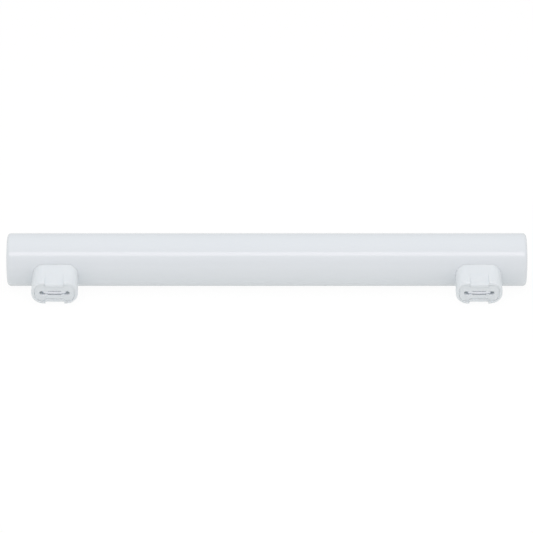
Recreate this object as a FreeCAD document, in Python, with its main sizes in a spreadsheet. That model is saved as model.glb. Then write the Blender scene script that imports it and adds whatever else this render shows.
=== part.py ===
import FreeCAD, Part
import Sketcher
import math
import os

# A tubular lamp with a plug cap near each end of an opal tube.
# Each part is drawn in the lamp's own axes: the tube lies along X, the caps point along -Y
# and Z is across the caps. The whole lamp is then tilted about X until it lies as it comes
# to rest, on the tube and on the lower edges of the two cap faces.

# Driving sizes in millimetres, with the draft in degrees
SIZES = {
    "tube_length": 300.0,
    "tube_diameter": 30.6,
    "tube_end_round": 2.0,
    "cap_inset": 28.2,
    "cap_reach": 29.8,
    "cap_length": 26.8,
    "cap_thickness": 16.3,
    "cap_corner_radius": 7.4,
    "cap_draft": 1.2,
    "face_bevel": 0.8,
    "cement_gap": 0.1,
    "notch_length": 10.9,
    "notch_depth": 1.75,
    "notch_run": 9.0,
    "rim_width": 1.9,
    "waist_rim_width": 1.85,
    "waist_length": 11.3,
    "waist_round": 0.7,
    "pocket_mouth_bevel": 0.2,
    "insert_recess": 0.6,
    "insert_gap": 0.12,
    "ledge_width": 0.9,
    "ledge_depth": 0.6,
    "insert_edge_bevel": 0.3,
    "insert_web": 1.3,
    "trough_width": 3.1,
    "trough_clearance": 0.15,
    "trough_corner_radius": 1.2,
    "hole_length": 3.2,
    "hole_width": 2.8,
    "hole_corner_radius": 0.6,
    "contact_width": 1.8,
    "contact_thickness": 1.1,
    "contact_edge_bevel": 0.3,
    "contact_span": 11.8,
    "contact_sink": 0.5,
    "contact_bow_radius": 18.0,
    "contact_bend_radius": 1.2,
    "contact_leg": 6.5,
    "contact_end_gap": 0.4,
}

# How far a cutting outline runs past the surface that it cuts
CUT_MARGIN = 1.0

# Largest share of a wall that two fillets on it may each take
FILLET_SHARE = 0.45

# Largest share of a lobe's end that its corner arc may take, in the pocket and on what stands in it
POCKET_LOBE_SHARE = 0.9
INSERT_LOBE_SHARE = 0.95

TOLERANCE = 1e-5

doc = FreeCAD.newDocument("tubular_lamp")
sheet = doc.addObject("Spreadsheet::Sheet", "Sizes")
for row, (name, value) in enumerate(SIZES.items(), start=1):
    sheet.set("A%d" % row, name)
    sheet.set("B%d" % row, str(value))
    sheet.setAlias("B%d" % row, name)
doc.recompute()

# Worked-out sizes, as expressions on the sheet
TUBE_RADIUS = "Sizes.tube_diameter / 2"
CAP_STATION = "(Sizes.tube_length / 2 - Sizes.cap_inset)"
CAP_HALF_LENGTH = "Sizes.cap_length / 2"
CAP_HALF_THICKNESS = "Sizes.cap_thickness / 2"
POCKET_HALF_LENGTH = "(Sizes.cap_length / 2 - Sizes.rim_width)"
POCKET_HALF_THICKNESS = "(Sizes.cap_thickness / 2 - Sizes.rim_width)"
WAIST_HALF_LENGTH = "Sizes.waist_length / 2"
WAIST_HALF_THICKNESS = "(Sizes.cap_thickness / 2 - Sizes.notch_depth - Sizes.waist_rim_width)"
WAIST_STEP = "(%s - %s)" % (POCKET_HALF_THICKNESS, WAIST_HALF_THICKNESS)
WAIST_ROUND = "min(Sizes.waist_round; %s * %s)" % (FILLET_SHARE, WAIST_STEP)
LOBE_ROOM = "(%s - %s - %s)" % (POCKET_HALF_LENGTH, WAIST_HALF_LENGTH, WAIST_ROUND)
POCKET_CORNER_RADIUS = "min(Sizes.cap_corner_radius - Sizes.rim_width; %s * %s)" % (
    POCKET_LOBE_SHARE, LOBE_ROOM)
HOLE_INNER_WALL = "(Sizes.contact_span - Sizes.contact_thickness) / 2"
HOLE_CENTRE = "%s + Sizes.hole_length / 2" % HOLE_INNER_WALL
TROUGH_HALF_LENGTH = "%s + Sizes.hole_length" % HOLE_INNER_WALL

# Depths below the cap's face: of the bowed bar's middle, and below that of its bends
CROWN_DEPTH = "(Sizes.contact_sink + Sizes.contact_thickness / 2)"
BEND_REACH = "(Sizes.contact_span / 2 - Sizes.contact_bend_radius)"
BEND_DEPTH = "(Sizes.contact_bow_radius - sqrt((%s) ^ 2 - %s ^ 2))" % (
    "Sizes.contact_bow_radius - Sizes.contact_bend_radius", BEND_REACH)
TROUGH_FLOOR = "(%s + %s + Sizes.trough_clearance)" % (CROWN_DEPTH, BEND_DEPTH)
TROUGH_DEPTH = "%s - Sizes.insert_recess" % TROUGH_FLOOR
INSERT_THICKNESS = "%s + Sizes.insert_web" % TROUGH_DEPTH
POCKET_DEPTH = "(%s + Sizes.insert_web)" % TROUGH_FLOOR
WELL_DEPTH = "%s + Sizes.contact_leg + Sizes.contact_end_gap - %s" % (CROWN_DEPTH, POCKET_DEPTH)

# The lamp rests on the tube's lowest line and on the lower bevelled edge of each cap
EDGE_REACH = "(Sizes.cap_reach - Sizes.face_bevel * cos(Sizes.cap_draft))"
EDGE_DROP = "(Sizes.cap_thickness / 2 - Sizes.face_bevel * sin(Sizes.cap_draft))"
EDGE_DISTANCE = "sqrt(%s ^ 2 + %s ^ 2)" % (EDGE_REACH, EDGE_DROP)
REST_TILT = "(asin(%s / %s) - atan(%s / %s))" % (TUBE_RADIUS, EDGE_DISTANCE, EDGE_DROP, EDGE_REACH)
FRONT = "(Sizes.cap_reach * cos(%s) + (Sizes.cap_thickness / 2 - Sizes.face_bevel) * sin(%s))" % (
    REST_TILT, REST_TILT)
DEPTH_CENTRE = "(%s - %s) / 2" % (FRONT, TUBE_RADIUS)


def worked(expression):
    """Value of an expression on the sheet, as a plain number."""
    result = sheet.evalExpression(expression)
    return float(getattr(result, "Value", result))


def new_body(label):
    body = doc.addObject("PartDesign::Body", label)
    body.Label = label
    return body


def origin_feature(body, role):
    return next(item for item in body.Origin.OriginFeatures if item.Role == role)


def new_sketch(body, name, plane, offsets=()):
    """Sketch on an origin plane, moved by expressions along the sketch's own axes."""
    sketch = body.newObject("Sketcher::SketchObject", "%s_%s" % (body.Label, name))
    sketch.AttachmentSupport = [(origin_feature(body, plane), "")]
    sketch.MapMode = "FlatFace"
    for axis, expression in offsets:
        sketch.setExpression("AttachmentOffset.Base.%s" % axis, expression)
    doc.recompute()
    return sketch


def new_feature(body, kind, name, **values):
    """Feature whose plain values are set and whose text values are bound as expressions."""
    feature = body.newObject("PartDesign::%s" % kind, "%s_%s" % (body.Label, name))
    for key, value in values.items():
        if isinstance(value, str) and "Sizes." in value:
            feature.setExpression(key, value)
        else:
            setattr(feature, key, value)
    doc.recompute()
    body.Tip = feature
    return feature


def constrain(sketch, kind, *references, size=None):
    """Add one constraint, bound to an expression where it has a size."""
    if size is None:
        sketch.addConstraint(Sketcher.Constraint(kind, *references))
        return
    number = sketch.addConstraint(Sketcher.Constraint(kind, *references, worked(size)))
    sketch.setExpression("Constraints[%d]" % number, size)


def place(sketch, axis, sign, item, end, size):
    """Set a point's signed distance from the sketch's origin along X or Y."""
    origin = (-1, 1)
    point = (item, end)
    ends = origin + point if sign > 0 else point + origin
    constrain(sketch, "Distance" + axis, *ends, size=size)


def closed_outline(sketch, quadrant):
    """Closed outline of level and upright lines with a tangent arc at each corner.

    quadrant lists the corners (x, y, radius) from the X axis round to the Y axis, and the
    outline is the same in all four quadrants. A corner with no radius is sharp.
    """
    there = list(quadrant)
    back = there[::-1]
    corners = [(1, 1, c) for c in there] + [(-1, 1, c) for c in back]
    corners += [(-1, -1, c) for c in there] + [(1, -1, c) for c in back]
    count = len(corners)
    points = [FreeCAD.Vector(sx * worked(c[0]), sy * worked(c[1]), 0) for sx, sy, c in corners]
    radii = [worked(c[2]) if c[2] else 0.0 for _, _, c in corners]
    ways = [(points[(i + 1) % count] - points[i]).normalize() for i in range(count)]

    lines = []
    for i in range(count):
        after = (i + 1) % count
        start = points[i] + ways[i] * radii[i]
        end = points[after] - ways[i] * radii[after]
        lines.append(sketch.addGeometry(Part.LineSegment(start, end), False))

    for i, (sx, sy, corner) in enumerate(corners):
        way_in, way_out = ways[i - 1], ways[i]
        if radii[i]:
            centre = points[i] + (way_out - way_in) * radii[i]
            left_turn = way_in.cross(way_out).z > 0
            spoke = points[i] - way_in * radii[i] if left_turn else points[i] + way_out * radii[i]
            angle = math.atan2(spoke.y - centre.y, spoke.x - centre.x)
            circle = Part.Circle(centre, FreeCAD.Vector(0, 0, 1), radii[i])
            arc = sketch.addGeometry(Part.ArcOfCircle(circle, angle, angle + math.pi / 2), False)
            entry, leave = (1, 2) if left_turn else (2, 1)
            constrain(sketch, "Tangent", lines[i - 1], 2, arc, entry)
            constrain(sketch, "Tangent", arc, leave, lines[i], 1)
            constrain(sketch, "Radius", arc, size=corner[2])
        else:
            constrain(sketch, "Coincident", lines[i - 1], 2, lines[i], 1)
        if abs(way_out.x) > 0.5:
            constrain(sketch, "Horizontal", lines[i])
            place(sketch, "Y", sy, lines[i], 1, corner[1])
        else:
            constrain(sketch, "Vertical", lines[i])
            place(sketch, "X", sx, lines[i], 1, corner[0])
    doc.recompute()


def edges_where(feature, test):
    return ["Edge%d" % number for number, edge in enumerate(feature.Shape.Edges, start=1) if test(edge)]


def distance_to(sketch, edge):
    """Distance from a sketch's lines to the middle of an edge."""
    middle = edge.valueAt((edge.FirstParameter + edge.LastParameter) / 2)
    return sketch.Shape.distToShape(Part.Vertex(middle))[0]


def edges_along(feature, sketch):
    """Edges of a feature that lie on the outline of a sketch."""
    def lies_on(edge):
        ends = [sketch.Shape.distToShape(vertex)[0] for vertex in edge.Vertexes]
        return max(ends + [distance_to(sketch, edge)]) < TOLERANCE
    return edges_where(feature, lies_on)


def lift(body):
    """Lift a body onto the surface and bring the middle of the lamp's footprint over the origin."""
    body.setExpression("Placement.Base.y", DEPTH_CENTRE)
    body.setExpression("Placement.Base.z", TUBE_RADIUS)
    doc.recompute()


def lay_down(body, station):
    """Tilt a cap's body about the tube's axis, move it along the tube and lift it."""
    body.Placement = FreeCAD.Placement(FreeCAD.Vector(), FreeCAD.Rotation(FreeCAD.Vector(1, 0, 0), 1))
    body.setExpression("Placement.Rotation.Angle", REST_TILT)
    body.setExpression("Placement.Base.x", station)
    lift(body)


def make_tube():
    """Closed opal tube, turned about its axis, with rounded end edges."""
    body = new_body("lamp_tube")
    sketch = new_sketch(body, "profile", "XZ_Plane")
    half, radius = worked("Sizes.tube_length / 2"), worked(TUBE_RADIUS)
    corners = [FreeCAD.Vector(x, y, 0) for x, y in ((half, 0), (half, radius), (-half, radius), (-half, 0))]
    for i in range(len(corners)):
        sketch.addGeometry(Part.LineSegment(corners[i], corners[(i + 1) % len(corners)]), False)
    right, top, left, axis = range(len(corners))
    for first, second in ((right, top), (top, left), (left, axis), (axis, right)):
        constrain(sketch, "Coincident", first, 2, second, 1)
    constrain(sketch, "Vertical", right)
    constrain(sketch, "Vertical", left)
    constrain(sketch, "Horizontal", top)
    constrain(sketch, "PointOnObject", axis, 1, -1)
    constrain(sketch, "PointOnObject", axis, 2, -1)
    place(sketch, "X", 1, right, 1, "Sizes.tube_length / 2")
    place(sketch, "X", -1, left, 1, "Sizes.tube_length / 2")
    place(sketch, "Y", 1, top, 1, TUBE_RADIUS)
    turned = new_feature(body, "Revolution", "turned", Profile=sketch, ReferenceAxis=(sketch, ["H_Axis"]))
    rims = edges_where(turned, lambda edge: isinstance(edge.Curve, Part.Circle))
    new_feature(body, "Fillet", "end_round", Base=(turned, rims), Radius="Sizes.tube_end_round")
    lift(body)
    return body


def make_cap(label, station):
    """Moulded pedestal that sits on the tube and holds the insert in its face."""
    body = new_body(label)
    reach = worked("Sizes.cap_reach")

    outline = new_sketch(body, "outline", "XZ_Plane", [("z", "Sizes.cap_reach")])
    closed_outline(outline, [(CAP_HALF_LENGTH, CAP_HALF_THICKNESS, "Sizes.cap_corner_radius")])
    new_feature(body, "Pad", "pedestal", Profile=outline, Length="Sizes.cap_reach", Reversed=True,
                TaperAngle="-Sizes.cap_draft")

    circle = new_sketch(body, "saddle_circle", "YZ_Plane")
    seat = "%s + Sizes.cement_gap" % TUBE_RADIUS
    circle.addGeometry(Part.Circle(FreeCAD.Vector(), FreeCAD.Vector(0, 0, 1), worked(seat)), False)
    constrain(circle, "Coincident", 0, 3, -1, 1)
    constrain(circle, "Radius", 0, size=seat)
    saddle = new_feature(body, "Pocket", "saddle", Profile=circle, Midplane=True,
                         Length="2 * Sizes.cap_length")
    rim = edges_where(saddle, lambda edge: all(abs(v.Y + reach) < TOLERANCE for v in edge.Vertexes))
    new_feature(body, "Chamfer", "face_bevel", Base=(saddle, rim), Size="Sizes.face_bevel")

    side = new_sketch(body, "notch_side", "YZ_Plane")
    slope = "Sizes.notch_depth / Sizes.notch_run"
    ahead = "Sizes.cap_reach + %s" % CUT_MARGIN
    bevel_foot = "Sizes.cap_reach - Sizes.face_bevel"
    behind = "Sizes.cap_reach - Sizes.notch_run - %s" % CUT_MARGIN
    above = "Sizes.cap_thickness / 2 + %s * %s" % (CUT_MARGIN, slope)
    bevel_level = "Sizes.cap_thickness / 2 - Sizes.notch_depth + Sizes.face_bevel * %s" % slope
    below = "%s - Sizes.face_bevel - %s" % (bevel_level, CUT_MARGIN)
    wedge = ((ahead, below), (bevel_foot, bevel_level), (behind, above), (ahead, above))
    corners = [FreeCAD.Vector(-worked(x), worked(y), 0) for x, y in wedge]
    for i in range(len(corners)):
        side.addGeometry(Part.LineSegment(corners[i], corners[(i + 1) % len(corners)]), False)
    for i in range(len(corners)):
        constrain(side, "Coincident", i, 2, (i + 1) % len(corners), 1)
    constrain(side, "Horizontal", 2)
    constrain(side, "Vertical", 3)
    for point in (0, 1, 2):
        place(side, "X", -1, point, 1, wedge[point][0])
        place(side, "Y", 1, point, 1, wedge[point][1])
    notch = new_feature(body, "Pocket", "notch", Profile=side, Midplane=True, Length="Sizes.notch_length")
    new_feature(body, "Mirrored", "notches", Originals=[notch],
                MirrorPlane=(origin_feature(body, "XY_Plane"), [""]))

    bone = new_sketch(body, "pocket_outline", "XZ_Plane", [("z", "Sizes.cap_reach")])
    closed_outline(bone, bone_quadrant())
    pocket = new_feature(body, "Pocket", "insert_pocket", Profile=bone, Length=POCKET_DEPTH)
    mouth = edges_along(pocket, bone)
    new_feature(body, "Chamfer", "pocket_mouth", Base=(pocket, mouth), Size="Sizes.pocket_mouth_bevel")

    cut_hole_pair(body, "Sizes.cap_reach - %s" % POCKET_DEPTH, WELL_DEPTH, None)
    lay_down(body, station)
    return body


def bone_quadrant(gap="0"):
    """One quadrant of the bone outline, drawn in from the pocket's walls by a gap."""
    corner_radius = "min(%s - %s; %s * (%s - 2 * %s))" % (
        POCKET_CORNER_RADIUS, gap, INSERT_LOBE_SHARE, LOBE_ROOM, gap)
    return [
        ("%s - %s" % (POCKET_HALF_LENGTH, gap), "%s - %s" % (POCKET_HALF_THICKNESS, gap), corner_radius),
        ("%s + %s" % (WAIST_HALF_LENGTH, gap), "%s - %s" % (POCKET_HALF_THICKNESS, gap), WAIST_ROUND),
        ("%s + %s" % (WAIST_HALF_LENGTH, gap), "%s - %s" % (WAIST_HALF_THICKNESS, gap), WAIST_ROUND),
    ]


def cut_hole_pair(body, level, depth, corner_radius):
    """Cut a hole for each leg of the contact, inward from a plane at a distance from the tube's axis."""
    name = "leg_hole"
    outline = new_sketch(body, name + "_outline", "XZ_Plane", [("z", level), ("x", HOLE_CENTRE)])
    closed_outline(outline, [("Sizes.hole_length / 2", "Sizes.hole_width / 2", corner_radius)])
    hole = new_feature(body, "Pocket", name, Profile=outline, Length=depth)
    return new_feature(body, "Mirrored", name + "s", Originals=[hole],
                       MirrorPlane=(origin_feature(body, "YZ_Plane"), [""]))


def make_insert(label, station):
    """Bone-shaped insulating plate with a raised middle, and a trough and two holes for the contact."""
    body = new_body(label)
    face_level = "Sizes.cap_reach - Sizes.insert_recess"
    ledge_level = "%s - Sizes.ledge_depth" % face_level
    outline = new_sketch(body, "outline", "XZ_Plane", [("z", ledge_level)])
    closed_outline(outline, bone_quadrant("Sizes.insert_gap"))
    plate_thickness = "%s - Sizes.ledge_depth" % INSERT_THICKNESS
    new_feature(body, "Pad", "plate", Profile=outline, Length=plate_thickness, Reversed=True)

    middle = new_sketch(body, "middle_outline", "XZ_Plane", [("z", face_level)])
    closed_outline(middle, bone_quadrant("(Sizes.insert_gap + Sizes.ledge_width)"))
    raised = new_feature(body, "Pad", "raised_middle", Profile=middle, Length="2 * Sizes.ledge_depth",
                         Reversed=True)
    edges = edges_along(raised, middle)
    new_feature(body, "Chamfer", "edge_bevel", Base=(raised, edges), Size="Sizes.insert_edge_bevel")

    slot = new_sketch(body, "trough_outline", "XZ_Plane", [("z", face_level)])
    closed_outline(slot, [(TROUGH_HALF_LENGTH, "Sizes.trough_width / 2", "Sizes.trough_corner_radius")])
    new_feature(body, "Pocket", "trough", Profile=slot, Length=TROUGH_DEPTH)

    cut_hole_pair(body, face_level, INSERT_THICKNESS + " + %s" % CUT_MARGIN, "Sizes.hole_corner_radius")
    lay_down(body, station)
    return body


def make_contact(label, station):
    """Bowed metal bar whose two legs go down through the insert into the cap."""
    body = new_body(label)
    crown_level = "Sizes.cap_reach - %s" % CROWN_DEPTH

    path = new_sketch(body, "path", "XY_Plane", [("y", "-(%s)" % crown_level)])
    bow, bend = worked("Sizes.contact_bow_radius"), worked("Sizes.contact_bend_radius")
    half_span, leg_end = worked("Sizes.contact_span / 2"), worked("Sizes.contact_leg")
    bend_x, bend_y = worked(BEND_REACH), worked(BEND_DEPTH)
    turn = math.atan2(bend_x, bow - bend_y)
    upward = FreeCAD.Vector(0, 0, 1)
    quarter = math.pi / 2
    pieces = [
        Part.LineSegment(FreeCAD.Vector(-half_span, leg_end, 0), FreeCAD.Vector(-half_span, bend_y, 0)),
        Part.ArcOfCircle(Part.Circle(FreeCAD.Vector(-bend_x, bend_y, 0), upward, bend),
                         2 * quarter, 3 * quarter - turn),
        Part.ArcOfCircle(Part.Circle(FreeCAD.Vector(0, bow, 0), upward, bow),
                         3 * quarter - turn, 3 * quarter + turn),
        Part.ArcOfCircle(Part.Circle(FreeCAD.Vector(bend_x, bend_y, 0), upward, bend),
                         3 * quarter + turn, 4 * quarter),
        Part.LineSegment(FreeCAD.Vector(half_span, bend_y, 0), FreeCAD.Vector(half_span, leg_end, 0)),
    ]
    for piece in pieces:
        path.addGeometry(piece, False)
    left_leg, left_bend, crown, right_bend, right_leg = range(len(pieces))
    for item in range(len(pieces) - 1):
        constrain(path, "Tangent", item, 2, item + 1, 1)
    constrain(path, "Vertical", left_leg)
    constrain(path, "Vertical", right_leg)
    constrain(path, "Radius", left_bend, size="Sizes.contact_bend_radius")
    constrain(path, "Radius", right_bend, size="Sizes.contact_bend_radius")
    constrain(path, "Radius", crown, size="Sizes.contact_bow_radius")
    constrain(path, "PointOnObject", crown, 3, -2)
    place(path, "Y", 1, crown, 3, "Sizes.contact_bow_radius")
    place(path, "X", -1, left_leg, 1, "Sizes.contact_span / 2")
    place(path, "X", 1, right_leg, 2, "Sizes.contact_span / 2")
    place(path, "Y", 1, left_leg, 1, "Sizes.contact_leg")
    place(path, "Y", 1, right_leg, 2, "Sizes.contact_leg")
    doc.recompute()

    section = new_sketch(body, "section", "XZ_Plane", [
        ("z", "%s - Sizes.contact_leg" % crown_level), ("x", "-Sizes.contact_span / 2")])
    closed_outline(section, [("Sizes.contact_thickness / 2", "Sizes.contact_width / 2", None)])
    bar = new_feature(body, "AdditivePipe", "bar", Profile=section,
                      Spine=(path, ["Edge%d" % (item + 1) for item in range(len(pieces))]))
    corner_distance = worked("sqrt(Sizes.contact_thickness ^ 2 + Sizes.contact_width ^ 2) / 2")
    along = edges_where(bar, lambda edge: abs(distance_to(path, edge) - corner_distance) < TOLERANCE)
    new_feature(body, "Chamfer", "edge_bevel", Base=(bar, along), Size="Sizes.contact_edge_bevel")
    lay_down(body, station)
    return body


parts = [make_tube()]
for side, station in (("left", "-%s" % CAP_STATION), ("right", CAP_STATION)):
    parts.append(make_cap("cap_%s" % side, station))
    parts.append(make_insert("cap_insert_%s" % side, station))
    parts.append(make_contact("contact_%s" % side, station))
doc.recompute()

for item in doc.Objects:
    faults = {"Invalid", "Error"} & set(item.State)
    if faults:
        raise RuntimeError("%s is %s" % (item.Label, ", ".join(sorted(faults))))

for body in parts:
    if body.Shape.isNull() or not body.Shape.isValid():
        raise RuntimeError("%s has no valid shape" % body.Label)

os.makedirs("parts", exist_ok=True)
for body in parts:
    body.Shape.exportStep("parts/%s.step" % body.Label)
    print("%s: %d solid, %.1f mm3" % (body.Label, len(body.Shape.Solids), body.Shape.Volume))
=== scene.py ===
import math

import bmesh
import bpy
from mathutils import Matrix, Vector


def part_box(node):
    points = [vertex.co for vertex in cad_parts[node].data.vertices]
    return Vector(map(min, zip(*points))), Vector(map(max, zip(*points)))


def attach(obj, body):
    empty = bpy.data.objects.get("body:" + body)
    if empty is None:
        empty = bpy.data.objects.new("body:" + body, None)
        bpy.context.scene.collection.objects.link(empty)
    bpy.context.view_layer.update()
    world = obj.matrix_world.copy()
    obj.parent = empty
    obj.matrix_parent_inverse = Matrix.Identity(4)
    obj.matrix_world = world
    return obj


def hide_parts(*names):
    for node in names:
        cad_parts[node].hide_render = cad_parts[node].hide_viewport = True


# A tubular lamp in opal white with a plug cap near each end, seen from the front and a little
# above. Sizes are in metres, in the frame's own axes, and angles are written in degrees.

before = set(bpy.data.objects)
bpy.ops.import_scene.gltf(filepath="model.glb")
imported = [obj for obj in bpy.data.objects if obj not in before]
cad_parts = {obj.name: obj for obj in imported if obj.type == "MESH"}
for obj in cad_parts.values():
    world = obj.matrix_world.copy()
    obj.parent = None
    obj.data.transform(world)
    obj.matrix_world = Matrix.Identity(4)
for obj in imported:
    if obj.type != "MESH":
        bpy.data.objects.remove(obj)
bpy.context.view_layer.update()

MM = 0.001

# The photograph's frame in pixels, and where the middle of the tube's axis lies in it
IMAGE_SIZE = 533
TUBE_CENTRE_PIXEL = (266.85, 259.5)
PIXELS_PER_METRE = 1727.0

CAMERA_DISTANCE = 2.3
CAMERA_ELEVATION = 26.1
SENSOR_WIDTH = 36.0

# Soft lamps, each with its size, power, colour, elevation, distance and whether gloss mirrors it
LAMPS = {
    "overhead": ((2.0, 2.0), 11.8, (0.982, 0.985, 0.984), 90.0, 1.8, False),
    "strip": ((1.6, 0.42), 4.2, (1.0, 0.88, 0.94), 50.0, 1.5, True),
}

# Strength of the world as light, and as what the camera sees
WORLD_FILL = 0.62
WORLD_SHOWN = 1.0

# The floor, and the share of glow in it as light and as what the camera sees
FLOOR_REACH = 4.0
FLOOR_COLOUR = (0.81, 0.81, 0.79)
FLOOR_ROUGHNESS = 0.9
GLOW_STRENGTH = 1.03
FLOOR_FILL = 0.4
FLOOR_GLOW = 0.9

# The tube's end round, and the rings that hold the shading beside it and along the tube
TUBE_END_ROUND = 2.0 * MM
SUPPORT_GAP = 0.4 * MM
RING_PITCH = 10.0 * MM
TUBE_SEGMENTS = 192
ROUND_STEPS = 12

# Sizes of a cap and what it holds. Levels along a cap are measured outward from the tube's axis,
# and a depth is measured inward from the cap's face.
CAP_REACH = 29.8 * MM
CAP_LENGTH = 26.8 * MM
CAP_THICKNESS = 16.3 * MM
CAP_CORNER_RADIUS = 7.4 * MM
FOOT_CORNER_RADIUS = 6.4 * MM
FOOT_DEPTH = 15.0 * MM
CAP_DRAFT = math.radians(1.2)
FACE_ROUND = 0.9 * MM
CEMENT_GAP = 0.02 * MM
NOTCH_LENGTH = 10.9 * MM
NOTCH_DEPTH = 1.5 * MM
NOTCH_RUN = 9.0 * MM
NOTCH_ROUND = 0.06 * MM
POCKET_LENGTH = 23.0 * MM
POCKET_WIDTH = 12.5 * MM
POCKET_CORNER_RADIUS = 4.63 * MM
POCKET_MOUTH_ROUND = 0.35 * MM
WAIST_LENGTH = 11.3 * MM
WAIST_WIDTH = 9.1 * MM
WAIST_ROUND = 0.7 * MM
INSERT_GAP = 0.01 * MM
INSERT_RECESS = 0.3 * MM
INSERT_WEB = 1.3 * MM
LEDGE_WIDTH = 0.02 * MM
LEDGE_DEPTH = 0.3 * MM
MIDDLE_SLOPE = 0.6 * MM
MIDDLE_CORNER_RADIUS = 4.2 * MM
TROUGH_LENGTH = 7.8 * MM
TROUGH_WIDTH = 3.0 * MM
TROUGH_CLEARANCE = 0.15 * MM
TROUGH_ROUND = 0.25 * MM
TROUGH_LIP_ROUND = 0.12 * MM
SLIT_WIDTH = 1.95 * MM
SLIT_END = 5.5 * MM
MOUTH_END = 8.7 * MM
MOUTH_WIDTH = 2.6 * MM
MOUTH_CORNER_RADIUS = 1.1 * MM
HOLE_LENGTH = 2.2 * MM
HOLE_WIDTH = 2.3 * MM
HOLE_CORNER_RADIUS = 0.9 * MM
CONTACT_WIDTH = 1.8 * MM
CONTACT_THICKNESS = 1.1 * MM
CONTACT_EDGE_ROUND = 0.3 * MM
CONTACT_SPAN = 13.2 * MM
CONTACT_SINK = 0.5 * MM
CONTACT_BOW_RADIUS = 50.0 * MM
CONTACT_BEND_RADIUS = 1.2 * MM
CONTACT_LEG = 6.5 * MM
CONTACT_END_GAP = 0.4 * MM

# How far a made surface stays back from its size, so that pieces that seat share no face
SKIN_INSET = 0.02 * MM

# Points nearer to each other than this are one, and edges that turn by more are sharp
WELD_DISTANCE = 0.001 * MM
SHARP_ANGLE = math.radians(40)

# Steps in the long arcs of an outline, its small arcs, the round of an edge, a straight stretch,
# half of the contact's bow and the run of the notches
ARC_STEPS = 16
NOTCH_STEPS = 4
EDGE_STEPS = 5
STRAIGHT_STEPS = 3
BOW_STEPS = 24
RUN_STEPS = 6

# Rings across the saddle, as shares of the cap's outline, and heights of rings above its seat
SADDLE_SHARES = (0.02, 0.35, 0.7, 1.0)
SIDE_HEIGHTS = (1.0 * MM, 3.0 * MM)

# Largest share of a step's height that each of its two rounds may take
STEP_ROUND_SHARE = 0.45

# Worked-out sizes and levels
WAIST_STEP = (POCKET_WIDTH - WAIST_WIDTH) / 2
CROWN_DEPTH = CONTACT_SINK + CONTACT_THICKNESS / 2
BEND_REACH = CONTACT_SPAN / 2 - CONTACT_BEND_RADIUS
BEND_RISE = math.sqrt((CONTACT_BOW_RADIUS - CONTACT_BEND_RADIUS) ** 2 - BEND_REACH ** 2)
BEND_DEPTH = CONTACT_BOW_RADIUS - BEND_RISE
TROUGH_FLOOR = CAP_REACH - CROWN_DEPTH - BEND_DEPTH - TROUGH_CLEARANCE
POCKET_FLOOR = TROUGH_FLOOR - INSERT_WEB
WELL_FLOOR = CAP_REACH - CROWN_DEPTH - CONTACT_LEG - CONTACT_END_GAP
INSERT_TOP = CAP_REACH - INSERT_RECESS
LEDGE_TOP = INSERT_TOP - LEDGE_DEPTH
HOLE_INNER_WALL = (CONTACT_SPAN - CONTACT_THICKNESS) / 2


def tube_axis():
    """Middle of the tube, its half length and its radius, from the frame."""
    low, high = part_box("lamp_tube")
    return (low + high) / 2, (high.x - low.x) / 2, (high.z - low.z) / 2


def add_camera():
    """Camera in front of the lamp and above it, with the photograph's framing."""
    centre, _, _ = tube_axis()
    tilt = math.radians(CAMERA_ELEVATION)
    forward = Vector((0, math.cos(tilt), -math.sin(tilt)))
    upward = Vector((0, math.sin(tilt), math.cos(tilt)))
    across = (TUBE_CENTRE_PIXEL[0] - IMAGE_SIZE / 2) / PIXELS_PER_METRE
    raised = (IMAGE_SIZE / 2 - TUBE_CENTRE_PIXEL[1]) / PIXELS_PER_METRE
    aim = centre - Vector((across, 0, 0)) - upward * raised

    data = bpy.data.cameras.new("camera")
    data.sensor_width = SENSOR_WIDTH
    data.lens = SENSOR_WIDTH * CAMERA_DISTANCE * PIXELS_PER_METRE / IMAGE_SIZE
    camera = bpy.data.objects.new("camera", data)
    camera.location = aim - forward * CAMERA_DISTANCE
    camera.rotation_mode = "QUATERNION"
    camera.rotation_quaternion = forward.to_track_quat("-Z", "Y")
    bpy.context.scene.collection.objects.link(camera)
    bpy.context.scene.camera = camera


def new_material(name):
    made = bpy.data.materials.new(name)
    made.use_nodes = True
    return made, made.node_tree.nodes, made.node_tree.links


def noise(nodes, links, scale, detail, roughness):
    """Noise in the frame's own coordinates, so that it lies the same way on every piece."""
    place = nodes.new("ShaderNodeTexCoord")
    texture = nodes.new("ShaderNodeTexNoise")
    texture.inputs["Scale"].default_value = scale
    texture.inputs["Detail"].default_value = detail
    texture.inputs["Roughness"].default_value = roughness
    links.new(place.outputs["Object"], texture.inputs["Vector"])
    return texture.outputs["Fac"]


def spread(nodes, links, value, low, high):
    """Map a 0 to 1 value to a range."""
    scaled = nodes.new("ShaderNodeMapRange")
    scaled.inputs["To Min"].default_value = low
    scaled.inputs["To Max"].default_value = high
    links.new(value, scaled.inputs["Value"])
    return scaled.outputs["Result"]


def moulded(name, dark, light, mottle, roughness, grain, grain_depth):
    """Solid surface with a faint mottle between two colours and a fine bumpy grain."""
    made, nodes, links = new_material(name)
    shader = nodes["Principled BSDF"]
    blend = nodes.new("ShaderNodeMix")
    blend.data_type = "RGBA"
    blend.inputs["A"].default_value = (*dark, 1)
    blend.inputs["B"].default_value = (*light, 1)
    links.new(noise(nodes, links, mottle, detail=4, roughness=0.55), blend.inputs["Factor"])
    links.new(blend.outputs["Result"], shader.inputs["Base Color"])
    patches = noise(nodes, links, mottle * 3, detail=3, roughness=0.5)
    links.new(spread(nodes, links, patches, *roughness), shader.inputs["Roughness"])
    bump = nodes.new("ShaderNodeBump")
    bump.inputs["Strength"].default_value = 0.5
    bump.inputs["Distance"].default_value = grain_depth
    links.new(noise(nodes, links, grain, detail=3, roughness=0.6), bump.inputs["Height"])
    links.new(bump.outputs["Normal"], shader.inputs["Normal"])
    return made, shader


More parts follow.
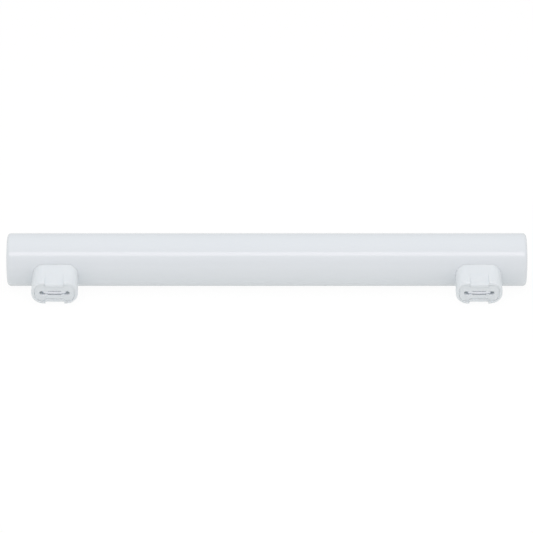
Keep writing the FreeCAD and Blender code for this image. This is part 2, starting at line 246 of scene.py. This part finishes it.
def soften(shader, share, depth):
    """Let a share of the light in to a depth, so that narrow gaps and shadows stay pale."""
    shader.inputs["Subsurface Weight"].default_value = share
    shader.inputs["Subsurface Radius"].default_value = (1.0, 1.0, 1.0)
    shader.inputs["Subsurface Scale"].default_value = depth


def opal_glass():
    """Glossy white glass."""
    made, shader = moulded("opal_glass", dark=(0.756, 0.804, 0.837), light=(0.776, 0.819, 0.849),
                           mottle=25, roughness=(0.13, 0.17), grain=900, grain_depth=0.004 * MM)
    shader.inputs["Coat Weight"].default_value = 0.3
    shader.inputs["Coat Roughness"].default_value = 0.04
    return made


def cap_plastic():
    """Satin white plastic of the caps."""
    made, shader = moulded("cap_plastic", dark=(0.762, 0.807, 0.833), light=(0.788, 0.835, 0.857),
                           mottle=120, roughness=(0.42, 0.52), grain=4000, grain_depth=0.02 * MM)
    soften(shader, share=0.6, depth=1.2 * MM)
    return made


def insert_plastic():
    """Satin white plastic of the inserts, a little paler than the caps."""
    made, shader = moulded("insert_plastic", dark=(0.772, 0.822, 0.848), light=(0.802, 0.847, 0.873),
                           mottle=150, roughness=(0.45, 0.55), grain=5000, grain_depth=0.02 * MM)
    soften(shader, share=0.4, depth=0.8 * MM)
    return made


def contact_metal():
    """Bright plated metal."""
    made, shader = moulded("contact_metal", dark=(0.79, 0.82, 0.87), light=(0.87, 0.90, 0.95),
                           mottle=600, roughness=(0.24, 0.34), grain=6000, grain_depth=0.01 * MM)
    shader.inputs["Metallic"].default_value = 0.8
    return made


def to_object(name, mesh):
    """Smooth-shaded object in the scene from a mesh, which is freed."""
    for face in mesh.faces:
        face.smooth = True
    data = bpy.data.meshes.new(name)
    mesh.to_mesh(data)
    mesh.free()
    made = bpy.data.objects.new(name, data)
    bpy.context.scene.collection.objects.link(made)
    return made


def lathe(name, profile, segments):
    """Closed mesh turned about X from (x, radius) points, the first and last of them on the axis."""
    mesh = bmesh.new()
    rings = []
    for x, radius in profile:
        if radius == 0:
            rings.append([mesh.verts.new((x, 0, 0))])
            continue
        turns = [2 * math.pi * i / segments for i in range(segments)]
        rings.append([mesh.verts.new((x, radius * math.cos(a), radius * math.sin(a))) for a in turns])
    for before, after in zip(rings, rings[1:]):
        for i in range(segments):
            j = (i + 1) % segments
            corners = [before[i % len(before)], before[j % len(before)],
                       after[j % len(after)], after[i % len(after)]]
            mesh.faces.new(list(dict.fromkeys(corners)))
    bmesh.ops.recalc_face_normals(mesh, faces=mesh.faces)
    return to_object(name, mesh)


def add_tube(material):
    """Opal tube with flat ends and rounded end edges."""
    centre, half, radius = tube_axis()
    flat = radius - TUBE_END_ROUND
    shoulder = half - TUBE_END_ROUND
    end = [(half, 0.0), (half, flat / 2), (half, flat - SUPPORT_GAP)]
    for i in range(ROUND_STEPS + 1):
        turn = math.pi / 2 * i / ROUND_STEPS
        end.append((shoulder + TUBE_END_ROUND * math.cos(turn), flat + TUBE_END_ROUND * math.sin(turn)))
    end.append((shoulder - SUPPORT_GAP, radius))
    count = round(2 * shoulder / RING_PITCH)
    middle = [(shoulder - 2 * shoulder * i / count, radius) for i in range(1, count)]
    profile = end + middle + [(-x, r) for x, r in reversed(end)]
    tube = lathe("opal_tube", profile, TUBE_SEGMENTS)
    tube.location = centre
    tube.data.materials.append(material)
    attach(tube, "root")
    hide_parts("lamp_tube")


def rest_tilt(tube_radius):
    """Angle by which the caps point below level where the lamp lies on its tube and its cap faces."""
    reach = CAP_REACH - FACE_ROUND * math.cos(CAP_DRAFT)
    drop = CAP_THICKNESS / 2 - FACE_ROUND * math.sin(CAP_DRAFT)
    return math.asin(tube_radius / math.hypot(reach, drop)) - math.atan2(drop, reach)


def arc(centre, radius, start, end, steps):
    """Points round an arc, both ends with them."""
    angles = [start + (end - start) * i / steps for i in range(steps + 1)]
    return [(centre[0] + radius * math.cos(a), centre[1] + radius * math.sin(a)) for a in angles]


def straight(start, end):
    """Points between two ends, both left out."""
    shares = [i / STRAIGHT_STEPS for i in range(1, STRAIGHT_STEPS)]
    return [(start[0] + (end[0] - start[0]) * s, start[1] + (end[1] - start[1]) * s) for s in shares]


def outline(half_length, half_width, corner, steps, step_round):
    """Closed outline of a rounded oblong whose long sides step in, or out where a step is below 0.

    The steps are pairs of the distance from the middle and the height. Outlines with as many steps
    have as many points, in the same order, so that they can be joined.
    """
    quarter = math.pi / 2
    side = half_width
    end_arc = arc((half_length - corner, half_width - corner), corner, 0, quarter, ARC_STEPS)
    quadrant = [(half_length, 0.0)] + straight((half_length, 0.0), end_arc[0]) + end_arc
    for place, height in steps:
        radius = min(step_round, STEP_ROUND_SHARE * abs(height))
        way = math.copysign(1, height)
        outer_arc = arc((place + radius, side - way * radius), radius, way * quarter, way * math.pi,
                        NOTCH_STEPS)
        side -= height
        inner_arc = arc((place - radius, side + way * radius), radius, 0, -way * quarter, NOTCH_STEPS)
        quadrant += straight(quadrant[-1], outer_arc[0]) + outer_arc + inner_arc
    quadrant += straight(quadrant[-1], (0.0, side)) + [(0.0, side)]
    across = [(-u, v) for u, v in quadrant[-2::-1]]
    opposite = [(-u, -v) for u, v in quadrant[1:]]
    back = [(u, -v) for u, v in quadrant[-2:0:-1]]
    return quadrant + across + opposite + back


def rounded_oblong(half_length, half_width, corner, middle=0.0):
    """Points round an oblong with rounded corners, whose middle lies on the U axis."""
    quarter = math.pi / 2
    points = []
    for turn, (su, sv) in enumerate(((1, 1), (-1, 1), (-1, -1), (1, -1))):
        centre = (middle + su * (half_length - corner), sv * (half_width - corner))
        points += arc(centre, corner, turn * quarter, (turn + 1) * quarter, NOTCH_STEPS)
    return points


def bone(offset):
    """Outline of the insert's pocket, moved outward by an offset."""
    return outline(POCKET_LENGTH / 2 + offset, POCKET_WIDTH / 2 + offset, POCKET_CORNER_RADIUS + offset,
                   [(WAIST_LENGTH / 2 - offset, WAIST_STEP)], WAIST_ROUND)


def round_edge(radius):
    """Pairs of (inset, drop) round a convex edge, from its side to its top."""
    turns = [math.pi / 2 * i / EDGE_STEPS for i in range(EDGE_STEPS + 1)]
    return [(radius * (1 - math.cos(t)), radius * (1 - math.sin(t))) for t in turns]


def add_ring(mesh, points, level):
    """Ring of vertices, where the level is a number or a function of (u, v)."""
    height = level if callable(level) else lambda u, v: level
    return [mesh.verts.new((u, -height(u, v), v)) for u, v in points]


def join_rings(mesh, rings):
    """Join each ring to the next with a band of quads."""
    for before, after in zip(rings, rings[1:]):
        count = len(before)
        for i in range(count):
            j = (i + 1) % count
            mesh.faces.new((before[i], before[j], after[j], after[i]))


def trough_outline(offset):
    """Outline of the trough under the contact: a wide middle, and a slit and a mouth at each end."""
    steps = [(SLIT_END - offset, (MOUTH_WIDTH - SLIT_WIDTH) / 2),
             (TROUGH_LENGTH / 2 + offset, (SLIT_WIDTH - TROUGH_WIDTH) / 2)]
    return outline(MOUTH_END + offset, MOUTH_WIDTH / 2 + offset, MOUTH_CORNER_RADIUS + offset, steps,
                   TROUGH_ROUND)


def hole_outlines():
    """Outlines of the two holes for the contact's legs."""
    middle = HOLE_INNER_WALL + HOLE_LENGTH / 2
    return [rounded_oblong(HOLE_LENGTH / 2, HOLE_WIDTH / 2, HOLE_CORNER_RADIUS, side * middle)
            for side in (-1, 1)]


def fill_between(mesh, loops):
    """Fill the flat region inside the first loop and outside the others."""
    for loop in loops:
        bmesh.ops.remove_doubles(mesh, verts=loop, dist=WELD_DISTANCE)
    loops = [[v for v in loop if v.is_valid] for loop in loops]
    edges = []
    for loop in loops:
        for i in range(len(loop)):
            pair = (loop[i], loop[(i + 1) % len(loop)])
            edges.append(mesh.edges.get(pair) or mesh.edges.new(pair))
    bmesh.ops.triangle_fill(mesh, edges=edges, use_beauty=True, use_dissolve=False)


def close_mesh(name, mesh):
    """Weld the points that coincide and turn the faces outward."""
    bmesh.ops.remove_doubles(mesh, verts=mesh.verts, dist=WELD_DISTANCE)
    bmesh.ops.recalc_face_normals(mesh, faces=mesh.faces)
    return to_object(name, mesh)


def cap_outline(level, inset=0.0):
    """Outline of the cap at a level, drawn in by the draft and an inset, with the notches there."""
    depth = CAP_REACH - level
    inset += depth * math.tan(CAP_DRAFT) + SKIN_INSET
    notch = max(0.0, NOTCH_DEPTH * (1 - depth / NOTCH_RUN))
    tightening = (CAP_CORNER_RADIUS - FOOT_CORNER_RADIUS) * depth / FOOT_DEPTH
    corner = CAP_CORNER_RADIUS - inset - tightening
    return outline(CAP_LENGTH / 2 - inset, CAP_THICKNESS / 2 - inset, corner,
                   [(NOTCH_LENGTH / 2, notch)], NOTCH_ROUND)


def make_cap(name, tube_radius):
    """Pedestal with a rounded face, a saddle on the tube, notches, a pocket and two wells."""
    seat = tube_radius + CEMENT_GAP

    def saddle(u, v):
        return math.sqrt(seat ** 2 - v ** 2)

    mesh = bmesh.new()
    foot = cap_outline(seat)
    rings = []
    for share in SADDLE_SHARES:
        rings.append(add_ring(mesh, [(u * share, v * share) for u, v in foot], saddle))
    mesh.faces.new(rings[0])
    levels = [seat + height for height in SIDE_HEIGHTS]
    run_start = CAP_REACH - NOTCH_RUN
    side_top = CAP_REACH - FACE_ROUND
    levels += [run_start + (side_top - run_start) * i / RUN_STEPS for i in range(RUN_STEPS)]
    for level in levels:
        rings.append(add_ring(mesh, cap_outline(level), level))
    for inset, drop in round_edge(FACE_ROUND):
        rings.append(add_ring(mesh, cap_outline(CAP_REACH - drop, inset), CAP_REACH - drop))
    for inset, drop in reversed(round_edge(POCKET_MOUTH_ROUND)):
        rings.append(add_ring(mesh, bone(inset), CAP_REACH - drop))
    rings.append(add_ring(mesh, bone(0.0), POCKET_FLOOR))
    join_rings(mesh, rings)
    wells = []
    for points in hole_outlines():
        mouth, floor = add_ring(mesh, points, POCKET_FLOOR), add_ring(mesh, points, WELL_FLOOR)
        join_rings(mesh, [mouth, floor])
        mesh.faces.new(floor)
        wells.append(mouth)
    fill_between(mesh, [rings[-1]] + wells)
    return close_mesh(name, mesh)


def make_insert(name):
    """Bone-shaped plate with a ledge round a raised middle, a trough and two through holes."""
    mesh = bmesh.new()
    bottom = POCKET_FLOOR + SKIN_INSET
    margin = INSERT_GAP + LEDGE_WIDTH
    waist = (WAIST_LENGTH / 2 + margin, WAIST_STEP)
    rings = [add_ring(mesh, bone(-INSERT_GAP), bottom), add_ring(mesh, bone(-INSERT_GAP), LEDGE_TOP)]
    for i in range(EDGE_STEPS + 1):
        share = i / EDGE_STEPS
        inset = MIDDLE_SLOPE * share
        rise = LEDGE_DEPTH * math.sin(math.pi / 2 * share)
        points = outline(POCKET_LENGTH / 2 - margin - inset, POCKET_WIDTH / 2 - margin - inset,
                         MIDDLE_CORNER_RADIUS - inset, [waist], WAIST_ROUND)
        rings.append(add_ring(mesh, points, LEDGE_TOP + rise))
    join_rings(mesh, rings)
    walls = []
    for inset, drop in reversed(round_edge(TROUGH_LIP_ROUND)):
        walls.append(add_ring(mesh, trough_outline(inset), INSERT_TOP - drop))
    walls.append(add_ring(mesh, trough_outline(0.0), TROUGH_FLOOR))
    join_rings(mesh, walls)
    fill_between(mesh, [rings[-1], walls[0]])
    upper, lower = [], []
    for points in hole_outlines():
        upper.append(add_ring(mesh, points, TROUGH_FLOOR))
        lower.append(add_ring(mesh, points, bottom))
        join_rings(mesh, [upper[-1], lower[-1]])
    fill_between(mesh, [walls[-1]] + upper)
    fill_between(mesh, [rings[0]] + lower)
    return close_mesh(name, mesh)


def contact_path():
    """Points (u, level) along the middle of the contact bar, each with the way outward from the bow."""
    crown = CAP_REACH - CROWN_DEPTH
    leg_end = crown - CONTACT_LEG
    turn = math.atan2(BEND_REACH, CONTACT_BOW_RADIUS - BEND_DEPTH)
    half_span, quarter = CONTACT_SPAN / 2, math.pi / 2
    bend_centre, bow_centre = (BEND_REACH, crown - BEND_DEPTH), (0.0, crown - CONTACT_BOW_RADIUS)
    path = [((half_span, leg_end + (bend_centre[1] - leg_end) * i / STRAIGHT_STEPS), 0.0)
            for i in range(STRAIGHT_STEPS)]
    for centre, radius, start, end, steps in (
            (bend_centre, CONTACT_BEND_RADIUS, 0.0, quarter - turn, 2 * EDGE_STEPS),
            (bow_centre, CONTACT_BOW_RADIUS, quarter - turn, quarter, BOW_STEPS)):
        for i in range(steps + 1):
            angle = start + (end - start) * i / steps
            point = (centre[0] + radius * math.cos(angle), centre[1] + radius * math.sin(angle))
            path.append((point, angle))
    return path + [((-u, level), 2 * quarter - angle) for (u, level), angle in path[-2::-1]]


def make_contact(name):
    """Bowed bar with rounded edges whose two legs go down through the insert."""
    section = rounded_oblong(CONTACT_THICKNESS / 2 - SKIN_INSET, CONTACT_WIDTH / 2 - SKIN_INSET,
                             CONTACT_EDGE_ROUND)
    mesh = bmesh.new()
    rings = []
    for (u, level), angle in contact_path():
        out = math.cos(angle), math.sin(angle)
        rings.append([mesh.verts.new((u + out[0] * s, -(level + out[1] * s), w)) for s, w in section])
    join_rings(mesh, rings)
    mesh.faces.new(rings[0])
    mesh.faces.new(rings[-1])
    return close_mesh(name, mesh)


def lay(made, node, material):
    """Put a piece made in a cap's own axes in the place of its node."""
    centre, _, radius = tube_axis()
    side = node.rsplit("_", 1)[1]
    low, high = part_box("cap_" + side)
    made.data.transform(Matrix.Rotation(rest_tilt(radius), 4, "X"))
    made.location = ((low.x + high.x) / 2, centre.y, centre.z)
    made.data.set_sharp_from_angle(angle=SHARP_ANGLE)
    made.modifiers.new("weighted normals", "WEIGHTED_NORMAL").keep_sharp = True
    made.data.materials.append(material)
    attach(made, "root")
    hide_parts(node)


def add_area(name, aim, size, power, colour, elevation, distance, mirrored):
    """Soft lamp that looks at a point from the front, at an elevation."""
    tilt = math.radians(elevation)
    data = bpy.data.lights.new(name, "AREA")
    data.shape = "RECTANGLE"
    data.size, data.size_y = size
    data.energy = power
    data.color = colour
    lamp = bpy.data.objects.new(name, data)
    lamp.visible_glossy = mirrored
    away = Vector((0, -math.cos(tilt), math.sin(tilt)))
    lamp.location = aim + away * distance
    lamp.rotation_mode = "QUATERNION"
    lamp.rotation_quaternion = (-away).to_track_quat("-Z", "Y")
    bpy.context.scene.collection.objects.link(lamp)


def add_light():
    """The soft lamps, and a white world that the camera sees brighter than it lights."""
    centre, _, _ = tube_axis()
    for name, values in LAMPS.items():
        add_area(name, centre, *values)
    world = bpy.data.worlds.new("world")
    world.use_nodes = True
    nodes, links = world.node_tree.nodes, world.node_tree.links
    background = nodes["Background"]
    background.inputs["Color"].default_value = (1, 1, 1, 1)
    rays = nodes.new("ShaderNodeLightPath")
    strength = spread(nodes, links, rays.outputs["Is Camera Ray"], WORLD_FILL, WORLD_SHOWN)
    links.new(strength, background.inputs["Strength"])
    bpy.context.scene.world = world


def add_floor():
    """Pale floor that runs far past the frame, lit from within for the camera so that it stays white."""
    mesh = bmesh.new()
    corners = [(-1, -1), (1, -1), (1, 1), (-1, 1)]
    mesh.faces.new([mesh.verts.new((x * FLOOR_REACH, y * FLOOR_REACH, 0)) for x, y in corners])
    floor = to_object("floor", mesh)
    made, nodes, links = new_material("floor")
    shader = nodes["Principled BSDF"]
    shader.inputs["Base Color"].default_value = (*FLOOR_COLOUR, 1)
    shader.inputs["Roughness"].default_value = FLOOR_ROUGHNESS
    glow = nodes.new("ShaderNodeEmission")
    glow.inputs["Strength"].default_value = GLOW_STRENGTH
    blend = nodes.new("ShaderNodeMixShader")
    rays = nodes.new("ShaderNodeLightPath")
    share = spread(nodes, links, rays.outputs["Is Camera Ray"], FLOOR_FILL, FLOOR_GLOW)
    links.new(share, blend.inputs["Fac"])
    links.new(shader.outputs["BSDF"], blend.inputs[1])
    links.new(glow.outputs["Emission"], blend.inputs[2])
    links.new(blend.outputs["Shader"], nodes["Material Output"].inputs["Surface"])
    floor.data.materials.append(made)


add_camera()
add_light()
add_floor()
add_tube(opal_glass())
cap_finish, insert_finish, contact_finish = cap_plastic(), insert_plastic(), contact_metal()
_, _, tube_radius = tube_axis()
for side in ("left", "right"):
    lay(make_cap("plug_cap_" + side, tube_radius), "cap_" + side, cap_finish)
    lay(make_insert("bone_insert_" + side), "cap_insert_" + side, insert_finish)
    lay(make_contact("contact_bar_" + side), "contact_" + side, contact_finish)

bpy.context.scene.view_settings.view_transform = "Standard"
